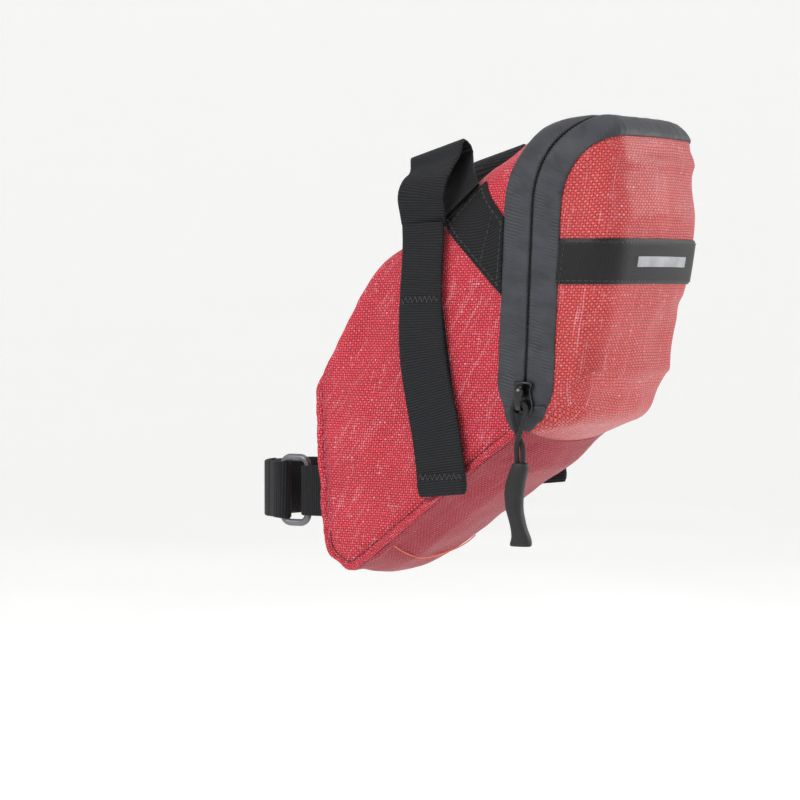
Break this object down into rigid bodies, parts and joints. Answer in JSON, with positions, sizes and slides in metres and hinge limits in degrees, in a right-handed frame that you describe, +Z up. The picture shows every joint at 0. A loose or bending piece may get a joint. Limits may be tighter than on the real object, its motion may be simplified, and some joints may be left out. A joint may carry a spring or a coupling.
{
  "type": "bicycle saddle bag",
  "caption": "Wedge-shaped red under-saddle bag with a wrap-around zip lid, rail straps, seatpost strap, light strap and corded zip pull.",
  "frame": {"origin": "on the seatpost's axis, at the middle of the seatpost strap", "axes": "+Z up along the seatpost, +X rearward away from the seatpost, +Y to the bicycle's right"},
  "size_m": [0.178, 0.09, 0.1723],
  "materials": {
    "red_fabric": "coral-red plain-weave nylon, semi-matt",
    "closed_cell_foam": "light grey closed-cell foam",
    "stiffener_sheet": "black polyethylene sheet",
    "lining_cloth": "grey taffeta lining",
    "zip_tape": "matt urethane-coated charcoal tape",
    "zip_coil": "black nylon coil",
    "black_binding": "black binding cloth",
    "red_piping": "rolled coral-red edge",
    "satin_webbing": "satin black webbing",
    "reflective_print": "grey reflective stripe",
    "black_twill": "black twill webbing",
    "loop_tape": "black loop tape",
    "hook_tape": "black hook tape",
    "black_webbing": "black polypropylene webbing",
    "ring_wire": "dark grey coated steel wire",
    "slider_metal": "gloss black enamel",
    "black_cord": "braided black cord",
    "grip_rubber": "matt black moulded rubber"
  },
  "bodies": {
    "bag": {"side_panel_left": "red_fabric", "side_panel_right": "red_fabric", "front_panel": "red_fabric", "bottom_panel": "red_fabric", "top_panel": "red_fabric", "foam_left": "closed_cell_foam", "foam_right": "closed_cell_foam", "base_stiffener": "stiffener_sheet", "lining_body": "lining_cloth", "zip_tape_body": "zip_tape", "zip_coil_body": "zip_coil", "zip_end_left": "black_binding", "zip_end_right": "black_binding", "piping_left": "red_piping", "piping_right": "red_piping", "strap_anchor_left": "black_twill", "strap_anchor_right": "black_twill", "loop_tape_left": "loop_tape", "loop_tape_right": "loop_tape", "rail_strap_left": "black_webbing", "rail_strap_right": "black_webbing", "post_strap": "black_webbing", "post_tab": "black_webbing", "post_ring": "ring_wire"},
    "lid": {"rear_lid": "red_fabric", "lid_foam": "closed_cell_foam", "lining_lid": "lining_cloth", "zip_tape_lid": "zip_tape", "zip_coil_lid": "zip_coil", "light_strap": "satin_webbing", "reflective_strip": "reflective_print"},
    "slider": {"zip_slider": "slider_metal", "slider_crown": "slider_metal"},
    "pull": {"pull_cord": "black_cord", "pull_grip": "grip_rubber"},
    "tail_left": {"strap_tail_left": "black_webbing", "hook_tape_left": "hook_tape"},
    "tail_right": {"strap_tail_right": "black_webbing", "hook_tape_right": "hook_tape"},
    "flap": {"post_flap": "black_webbing", "flap_hook_tape": "hook_tape"}
  },
  "joints": [
    {"name": "lid_hinge", "type": "hinge", "parent": "bag", "child": "lid", "pos_m": [0.1159, 0, 0.0282], "axis": [0, 1, 0], "range_deg": [0, 75]},
    {"name": "slider_slide", "type": "slide", "parent": "bag", "child": "slider", "axis": [0.0433, 0, 0.9991], "range_m": [0, 0.066]},
    {"name": "pull_swing", "type": "hinge", "parent": "slider", "child": "pull", "pos_m": [0.11638, -0.0432, 0.0373], "axis": [-1, 0, 0], "range_deg": [0, 100]},
    {"name": "tail_left_peel", "type": "hinge", "parent": "bag", "child": "tail_left", "pos_m": [0.072, -0.0404, 0.104], "axis": [-1, 0, 0], "range_deg": [0, 80]},
    {"name": "tail_right_peel", "type": "hinge", "parent": "bag", "child": "tail_right", "pos_m": [0.072, 0.0404, 0.104], "axis": [1, 0, 0], "range_deg": [0, 80]},
    {"name": "flap_peel", "type": "hinge", "parent": "bag", "child": "flap", "pos_m": [-0.0027, -0.0172, 0], "axis": [0, 0, 1], "range_deg": [0, 110]}
  ]
}
